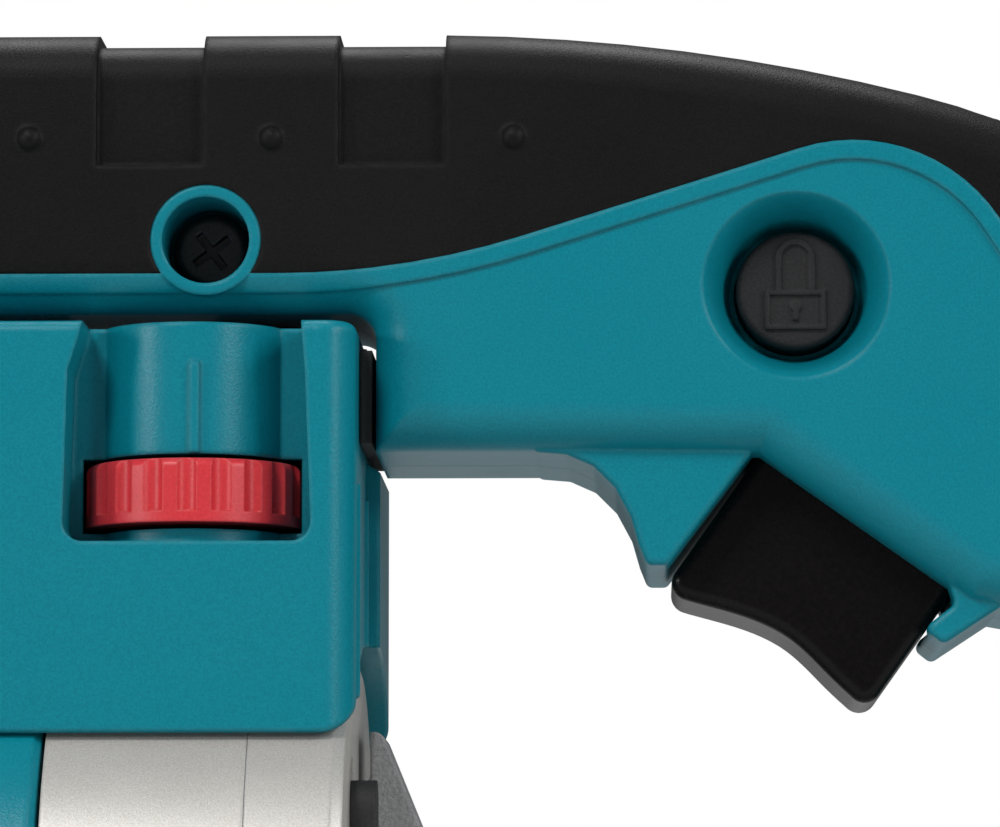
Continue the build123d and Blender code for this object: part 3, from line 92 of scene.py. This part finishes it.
def buildStudio():
    mesh = bpy.data.meshes.new("studioFloor")
    h = studio["floorSize"] / 2
    mesh.from_pydata([(-h, -h, 0), (h, -h, 0), (h, h, 0), (-h, h, 0)], [], [(0, 1, 2, 3)])
    floor = bpy.data.objects.new("studioFloor", mesh)
    scene.collection.objects.link(floor)
    floorPaint = bpy.data.materials.new("studioFloorPaint")
    floorPaint.use_nodes = True
    shader = floorPaint.node_tree.nodes["Principled BSDF"]
    shader.inputs["Base Color"].default_value = (*studio["floorColor"], 1)
    shader.inputs["Roughness"].default_value = studio["floorRoughness"]
    mesh.materials.append(floorPaint)

    world = bpy.data.worlds.new("studioSky")
    world.use_nodes = True
    scene.world = world
    n, link = newTree(world.node_tree)
    out = n.new("ShaderNodeOutputWorld")
    mix = n.new("ShaderNodeMixShader")
    path = n.new("ShaderNodeLightPath")
    light = n.new("ShaderNodeBackground")
    light.inputs["Color"].default_value = (*studio["skyColor"], 1)
    light.inputs["Strength"].default_value = studio["skyStrength"]
    seen = n.new("ShaderNodeBackground")
    seen.inputs["Color"].default_value = (1, 1, 1, 1)
    seen.inputs["Strength"].default_value = studio["backdrop"]
    link.new(path.outputs["Is Camera Ray"], mix.inputs[0])
    link.new(light.outputs[0], mix.inputs[1])
    link.new(seen.outputs[0], mix.inputs[2])
    link.new(mix.outputs[0], out.inputs["Surface"])

    middle = (cadBox[0] + cadBox[1]) / 2
    for name, lamp in lamps.items():
        data = bpy.data.lights.new(name, "AREA")
        data.shape = "DISK"
        data.size = lamp["size"]
        data.energy = lamp["watts"]
        obj = bpy.data.objects.new(name, data)
        obj.location = lamp["at"]
        obj.rotation_mode = "QUATERNION"
        obj.rotation_quaternion = (middle - Vector(lamp["at"])).to_track_quat("-Z", "Y")
        scene.collection.objects.link(obj)


buildStudio()
print("cutter: camera and studio ready")


# shared surface effects, each one a node group
def newGroup(name, inputs, outputs):
    group = bpy.data.node_groups.new(name, "ShaderNodeTree")
    for label, kind, value in inputs:
        socket = group.interface.new_socket(label, in_out="INPUT", socket_type=kind)
        socket.default_value = value
    for label, kind in outputs:
        group.interface.new_socket(label, in_out="OUTPUT", socket_type=kind)
    return group, group.nodes.new("NodeGroupInput"), group.nodes.new("NodeGroupOutput")


def mathNode(tree, operation, a, b=None, clamp=False):
    node = tree.nodes.new("ShaderNodeMath")
    node.operation = operation
    node.use_clamp = clamp
    for slot, value in enumerate((a, b)):
        if value is None:
            continue
        if isinstance(value, (int, float)):
            node.inputs[slot].default_value = value
        else:
            tree.links.new(value, node.inputs[slot])
    return node.outputs[0]


def rangeNode(tree, value, low, high, toLow, toHigh):
    node = tree.nodes.new("ShaderNodeMapRange")
    labels = ("Value", "From Min", "From Max", "To Min", "To Max")
    for slot, item in zip(labels, (value, low, high, toLow, toHigh)):
        if isinstance(item, (int, float)):
            node.inputs[slot].default_value = item
        else:
            tree.links.new(item, node.inputs[slot])
    return node.outputs["Result"]


def noiseNode(tree, vector, scale, detail=2.0, rough=0.5):
    node = tree.nodes.new("ShaderNodeTexNoise")
    node.inputs["Detail"].default_value = detail
    node.inputs["Roughness"].default_value = rough
    tree.links.new(vector, node.inputs["Vector"])
    if isinstance(scale, (int, float)):
        node.inputs["Scale"].default_value = scale
    else:
        tree.links.new(scale, node.inputs["Scale"])
    return node.outputs["Fac"]


pitting = {"detail": 3.0, "rough": 0.62, "range": (0.32, 0.68), "waveScale": 120.0, "waveDetail": 2.0}


def makeMouldGrain():
    # eroded mould texture: fine pits over broader waves
    group, inside, outside = newGroup(
        "mouldGrain",
        [("Grain Size", "NodeSocketFloat", 0.0003), ("Waviness", "NodeSocketFloat", 0.2)],
        [("Height", "NodeSocketFloat"), ("Speckle", "NodeSocketFloat")],
    )
    place = group.nodes.new("ShaderNodeTexCoord").outputs["Object"]
    scale = mathNode(group, "DIVIDE", 1.0, inside.outputs["Grain Size"])
    fine = noiseNode(group, place, scale, pitting["detail"], pitting["rough"])
    broad = noiseNode(group, place, pitting["waveScale"], pitting["waveDetail"])
    pits = rangeNode(group, fine, *pitting["range"], 0.0, 1.0)
    waves = mathNode(group, "MULTIPLY", broad, inside.outputs["Waviness"])
    group.links.new(mathNode(group, "ADD", pits, waves), outside.inputs["Height"])
    group.links.new(pits, outside.inputs["Speckle"])
    return group


# the turn is the cosine between the flat and the bevelled normal, from no wear to full wear
rubbing = {"samples": 6, "turn": (0.985, 0.86), "scale": 420.0, "detail": 4.0, "rough": 0.6,
           "range": (0.40, 0.62)}


def makeEdgeRub():
    # mask of the outer edges, broken up so that wear is uneven
    group, inside, outside = newGroup(
        "edgeRub",
        [("Width", "NodeSocketFloat", 0.0006), ("Amount", "NodeSocketFloat", 0.5)],
        [("Mask", "NodeSocketFloat"), ("Normal", "NodeSocketVector")],
    )
    place = group.nodes.new("ShaderNodeTexCoord").outputs["Object"]
    bevel = group.nodes.new("ShaderNodeBevel")
    bevel.samples = rubbing["samples"]
    group.links.new(inside.outputs["Width"], bevel.inputs["Radius"])
    shape = group.nodes.new("ShaderNodeNewGeometry")
    dot = group.nodes.new("ShaderNodeVectorMath")
    dot.operation = "DOT_PRODUCT"
    group.links.new(bevel.outputs["Normal"], dot.inputs[0])
    group.links.new(shape.outputs["Normal"], dot.inputs[1])
    turned = rangeNode(group, dot.outputs["Value"], *rubbing["turn"], 0.0, 1.0)
    spots = noiseNode(group, place, rubbing["scale"], rubbing["detail"], rubbing["rough"])
    patches = rangeNode(group, spots, *rubbing["range"], 0.0, 1.0)
    worn = mathNode(group, "MULTIPLY", turned, patches)
    mask = mathNode(group, "MULTIPLY", worn, inside.outputs["Amount"], clamp=True)
    group.links.new(mask, outside.inputs["Mask"])
    group.links.new(bevel.outputs["Normal"], outside.inputs["Normal"])
    return group


smearing = {"scale": 38.0, "detail": 5.0, "rough": 0.6, "range": (0.35, 0.65)}


def makeHandling():
    # slow changes in gloss where hands and cloths have been
    group, inside, outside = newGroup(
        "handling",
        [("Low", "NodeSocketFloat", 0.35), ("High", "NodeSocketFloat", 0.5)],
        [("Roughness", "NodeSocketFloat"), ("Patches", "NodeSocketFloat")],
    )
    place = group.nodes.new("ShaderNodeTexCoord").outputs["Object"]
    smear = noiseNode(group, place, smearing["scale"], smearing["detail"], smearing["rough"])
    patches = rangeNode(group, smear, *smearing["range"], 0.0, 1.0)
    group.links.new(
        rangeNode(group, patches, 0.0, 1.0, inside.outputs["Low"], inside.outputs["High"]),
        outside.inputs["Roughness"],
    )
    group.links.new(patches, outside.inputs["Patches"])
    return group


turning = {"pitch": 0.0005, "weight": 3.0, "scale": 1.0, "detail": 3.0, "rough": 0.7}


def makeTurnedLines():
    # concentric tool marks about an axis along Y through the centre
    group, inside, outside = newGroup(
        "turnedLines",
        [("Centre", "NodeSocketVector", (0, 0, 0)), ("Pitch", "NodeSocketFloat", 0.0006)],
        [("Height", "NodeSocketFloat")],
    )
    place = group.nodes.new("ShaderNodeTexCoord").outputs["Object"]
    shift = group.nodes.new("ShaderNodeVectorMath")
    shift.operation = "SUBTRACT"
    group.links.new(place, shift.inputs[0])
    group.links.new(inside.outputs["Centre"], shift.inputs[1])
    parts = group.nodes.new("ShaderNodeSeparateXYZ")
    group.links.new(shift.outputs[0], parts.inputs[0])
    flat = group.nodes.new("ShaderNodeCombineXYZ")
    group.links.new(parts.outputs["X"], flat.inputs["X"])
    group.links.new(parts.outputs["Z"], flat.inputs["Y"])
    length = group.nodes.new("ShaderNodeVectorMath")
    length.operation = "LENGTH"
    group.links.new(flat.outputs[0], length.inputs[0])
    turns = mathNode(group, "DIVIDE", length.outputs["Value"], inside.outputs["Pitch"])
    ring = group.nodes.new("ShaderNodeCombineXYZ")
    group.links.new(turns, ring.inputs["X"])
    lines = noiseNode(group, ring.outputs[0], turning["scale"], turning["detail"], turning["rough"])
    group.links.new(lines, outside.inputs["Height"])
    return group


mouldGrain = makeMouldGrain()
edgeRub = makeEdgeRub()
handling = makeHandling()
turnedLines = makeTurnedLines()


def placeGroup(tree, group, **values):
    node = tree.nodes.new("ShaderNodeGroup")
    node.node_tree = group
    for label, value in values.items():
        node.inputs[label.replace("_", " ")].default_value = value
    return node


# where a Mix node set to colour keeps its sockets
mixSockets = {"factor": 0, "first": 6, "second": 7, "result": 2}


def mixColor(tree, factor, first, second):
    node = tree.nodes.new("ShaderNodeMix")
    node.data_type = "RGBA"
    tree.links.new(factor, node.inputs[mixSockets["factor"]])
    for label, item in (("first", first), ("second", second)):
        socket = node.inputs[mixSockets[label]]
        if isinstance(item, tuple):
            socket.default_value = (*item, 1)
        else:
            tree.links.new(item, socket)
    return node.outputs[mixSockets["result"]]


# one finish per material slot of the record; colours are linear
coatRoughness = 0.12
finishes = {
    "teal": {"color": (0.001, 0.178, 0.235), "fleck": (0.003, 0.222, 0.285), "worn": (0.08, 0.33, 0.38),
             "metal": 0.0, "gloss": (0.27, 0.34), "grain": 0.00026, "depth": 0.000012, "wave": 0.15,
             "edge": 0.0007, "wear": 0.2, "specular": 0.24, "coat": 0.0},
    "soft_black": {"color": (0.004, 0.004, 0.004), "fleck": (0.0085, 0.0085, 0.0085),
                   "worn": (0.04, 0.04, 0.04), "metal": 0.0, "gloss": (0.40, 0.50),
                   "grain": 0.00022, "depth": 0.000012, "wave": 0.1,
                   "edge": 0.0008, "wear": 0.25, "specular": 0.12, "coat": 0.0},
    "gloss_black": {"color": (0.0035, 0.003, 0.003), "fleck": (0.006, 0.005, 0.005),
                    "worn": (0.03, 0.03, 0.03), "metal": 0.0, "gloss": (0.20, 0.28),
                    "grain": 0.0006, "depth": 0.000003, "wave": 0.3,
                    "edge": 0.0006, "wear": 0.15, "specular": 0.16, "coat": 0.0},
    "matt_black": {"color": (0.015, 0.015, 0.016), "fleck": (0.026, 0.026, 0.027), "worn": (0.07, 0.07, 0.07),
                   "metal": 0.0, "gloss": (0.5, 0.62), "grain": 0.0003, "depth": 0.00002, "wave": 0.1,
                   "edge": 0.0004, "wear": 0.3, "specular": 0.2, "coat": 0.0},
    "red": {"color": (0.56, 0.021, 0.032), "fleck": (0.68, 0.036, 0.044), "worn": (0.75, 0.12, 0.10),
            "metal": 0.0, "gloss": (0.34, 0.44), "grain": 0.00025, "depth": 0.000008, "wave": 0.15,
            "edge": 0.0003, "wear": 0.35, "specular": 0.5, "coat": 0.0},
    "silver_paint": {"color": (0.44, 0.42, 0.39), "fleck": (0.60, 0.585, 0.555), "worn": (0.82, 0.82, 0.80),
                     "metal": 0.35, "gloss": (0.34, 0.44), "grain": 0.00016, "depth": 0.000006, "wave": 0.1,
                     "edge": 0.0005, "wear": 0.5, "specular": 0.5, "coat": 0.05},
    "cast_grey": {"color": (0.24, 0.243, 0.247), "fleck": (0.34, 0.342, 0.345), "worn": (0.45, 0.45, 0.45),
                  "metal": 0.15, "gloss": (0.52, 0.66), "grain": 0.0005, "depth": 0.00007, "wave": 0.5,
                  "edge": 0.0006, "wear": 0.5, "specular": 0.45, "coat": 0.0},
    "steel": {"color": (0.46, 0.46, 0.47), "fleck": (0.56, 0.56, 0.57), "worn": (0.75, 0.75, 0.76),
              "metal": 1.0, "gloss": (0.26, 0.38), "grain": 0.0003, "depth": 0.000004, "wave": 0.2,
              "edge": 0.0002, "wear": 0.4, "specular": 0.5, "coat": 0.0},
    "blade": {"color": (0.60, 0.61, 0.63), "fleck": (0.68, 0.69, 0.70), "worn": (0.85, 0.85, 0.86),
              "metal": 1.0, "gloss": (0.17, 0.27), "grain": 0.0003, "depth": 0.000002, "wave": 0.1,
              "edge": 0.0001, "wear": 0.3, "specular": 0.5, "coat": 0.0, "turned": "round_knife"},
    "black_steel": {"color": (0.028, 0.028, 0.03), "fleck": (0.05, 0.05, 0.052), "worn": (0.32, 0.32, 0.33),
                    "metal": 0.8, "gloss": (0.34, 0.46), "grain": 0.0003, "depth": 0.000006, "wave": 0.2,
                    "edge": 0.0003, "wear": 0.6, "specular": 0.5, "coat": 0.0},
    "zinc": {"color": (0.42, 0.43, 0.42), "fleck": (0.55, 0.56, 0.54), "worn": (0.72, 0.73, 0.72),
             "metal": 1.0, "gloss": (0.3, 0.42), "grain": 0.0004, "depth": 0.000004, "wave": 0.2,
             "edge": 0.0002, "wear": 0.4, "specular": 0.5, "coat": 0.0},
    "copper": {"color": (0.42, 0.135, 0.055), "fleck": (0.55, 0.21, 0.09), "worn": (0.75, 0.36, 0.18),
               "metal": 1.0, "gloss": (0.26, 0.4), "grain": 0.0005, "depth": 0.00002, "wave": 0.2,
               "edge": 0.0003, "wear": 0.3, "specular": 0.5, "coat": 0.3},
    "brass": {"color": (0.55, 0.37, 0.13), "fleck": (0.66, 0.47, 0.2), "worn": (0.8, 0.64, 0.34),
              "metal": 1.0, "gloss": (0.26, 0.38), "grain": 0.0003, "depth": 0.000004, "wave": 0.2,
              "edge": 0.0002, "wear": 0.4, "specular": 0.5, "coat": 0.0},
    "carbon": {"color": (0.012, 0.012, 0.013), "fleck": (0.03, 0.03, 0.032), "worn": (0.09, 0.09, 0.09),
               "metal": 0.2, "gloss": (0.42, 0.56), "grain": 0.0002, "depth": 0.00001, "wave": 0.2,
               "edge": 0.0002, "wear": 0.4, "specular": 0.45, "coat": 0.0},
    "board": {"color": (0.012, 0.085, 0.03), "fleck": (0.02, 0.12, 0.045), "worn": (0.3, 0.24, 0.1),
              "metal": 0.0, "gloss": (0.28, 0.4), "grain": 0.0006, "depth": 0.00001, "wave": 0.3,
              "edge": 0.0002, "wear": 0.4, "specular": 0.5, "coat": 0.2},
    "rubber": {"color": (0.012, 0.012, 0.012), "fleck": (0.02, 0.02, 0.02), "worn": (0.06, 0.06, 0.06),
               "metal": 0.0, "gloss": (0.6, 0.74), "grain": 0.0004, "depth": 0.00002, "wave": 0.2,
               "edge": 0.0005, "wear": 0.4, "specular": 0.4, "coat": 0.0},
    "stone": {"color": (0.30, 0.26, 0.22), "fleck": (0.48, 0.44, 0.40), "worn": (0.6, 0.56, 0.52),
              "metal": 0.0, "gloss": (0.7, 0.85), "grain": 0.0003, "depth": 0.00005, "wave": 0.3,
              "edge": 0.0003, "wear": 0.5, "specular": 0.35, "coat": 0.0},
    "foil": {"color": (0.62, 0.63, 0.65), "fleck": (0.72, 0.73, 0.74), "worn": (0.85, 0.85, 0.86),
             "metal": 1.0, "gloss": (0.2, 0.34), "grain": 0.0009, "depth": 0.00001, "wave": 0.6,
             "edge": 0.0003, "wear": 0.3, "specular": 0.5, "coat": 0.0},
}


def makeFinish(name, look):
    material = bpy.data.materials.new("cutter_" + name)
    material.use_nodes = True
    tree = material.node_tree
    n, link = newTree(tree)
    out = n.new("ShaderNodeOutputMaterial")
    shader = n.new("ShaderNodeBsdfPrincipled")
    link.new(shader.outputs[0], out.inputs["Surface"])
    shader.inputs["Specular IOR Level"].default_value = look["specular"]
    shader.inputs["Coat Weight"].default_value = look["coat"]
    shader.inputs["Coat Roughness"].default_value = coatRoughness
    grain = placeGroup(tree, mouldGrain, Grain_Size=look["grain"], Waviness=look["wave"])
    edge = placeGroup(tree, edgeRub, Width=look["edge"], Amount=look["wear"])
    touch = placeGroup(tree, handling, Low=look["gloss"][0], High=look["gloss"][1])
    base = mixColor(tree, grain.outputs["Speckle"], look["color"], look["fleck"])
    link.new(mixColor(tree, edge.outputs["Mask"], base, look["worn"]), shader.inputs["Base Color"])
    link.new(touch.outputs["Roughness"], shader.inputs["Roughness"])
    shader.inputs["Metallic"].default_value = look["metal"]
    bump = n.new("ShaderNodeBump")
    bump.inputs["Strength"].default_value = 1.0
    bump.inputs["Distance"].default_value = look["depth"]
    height = grain.outputs["Height"]
    if "turned" in look:
        low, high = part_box(look["turned"])
        lines = placeGroup(tree, turnedLines, Centre=(low + high) / 2, Pitch=turning["pitch"])
        marks = mathNode(tree, "MULTIPLY", lines.outputs["Height"], turning["weight"])
        height = mathNode(tree, "ADD", height, marks)
    link.new(height, bump.inputs["Height"])
    link.new(edge.outputs["Normal"], bump.inputs["Normal"])
    link.new(bump.outputs["Normal"], shader.inputs["Normal"])
    return material


paints = {name: makeFinish(name, look) for name, look in finishes.items()}
print("cutter:", len(paints), "finishes made")


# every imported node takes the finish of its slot
def paintNodes():
    slotOf = {entry["node"]: entry["material_slot"] for entry in frame["record"]["subparts"]}
    for name, obj in nodes.items():
        paint = paints[slotOf[name]]
        if not obj.material_slots:
            obj.data.materials.append(paint)
        for holder in obj.material_slots:
            holder.material = paint


paintNodes()
print("cutter: nodes painted")
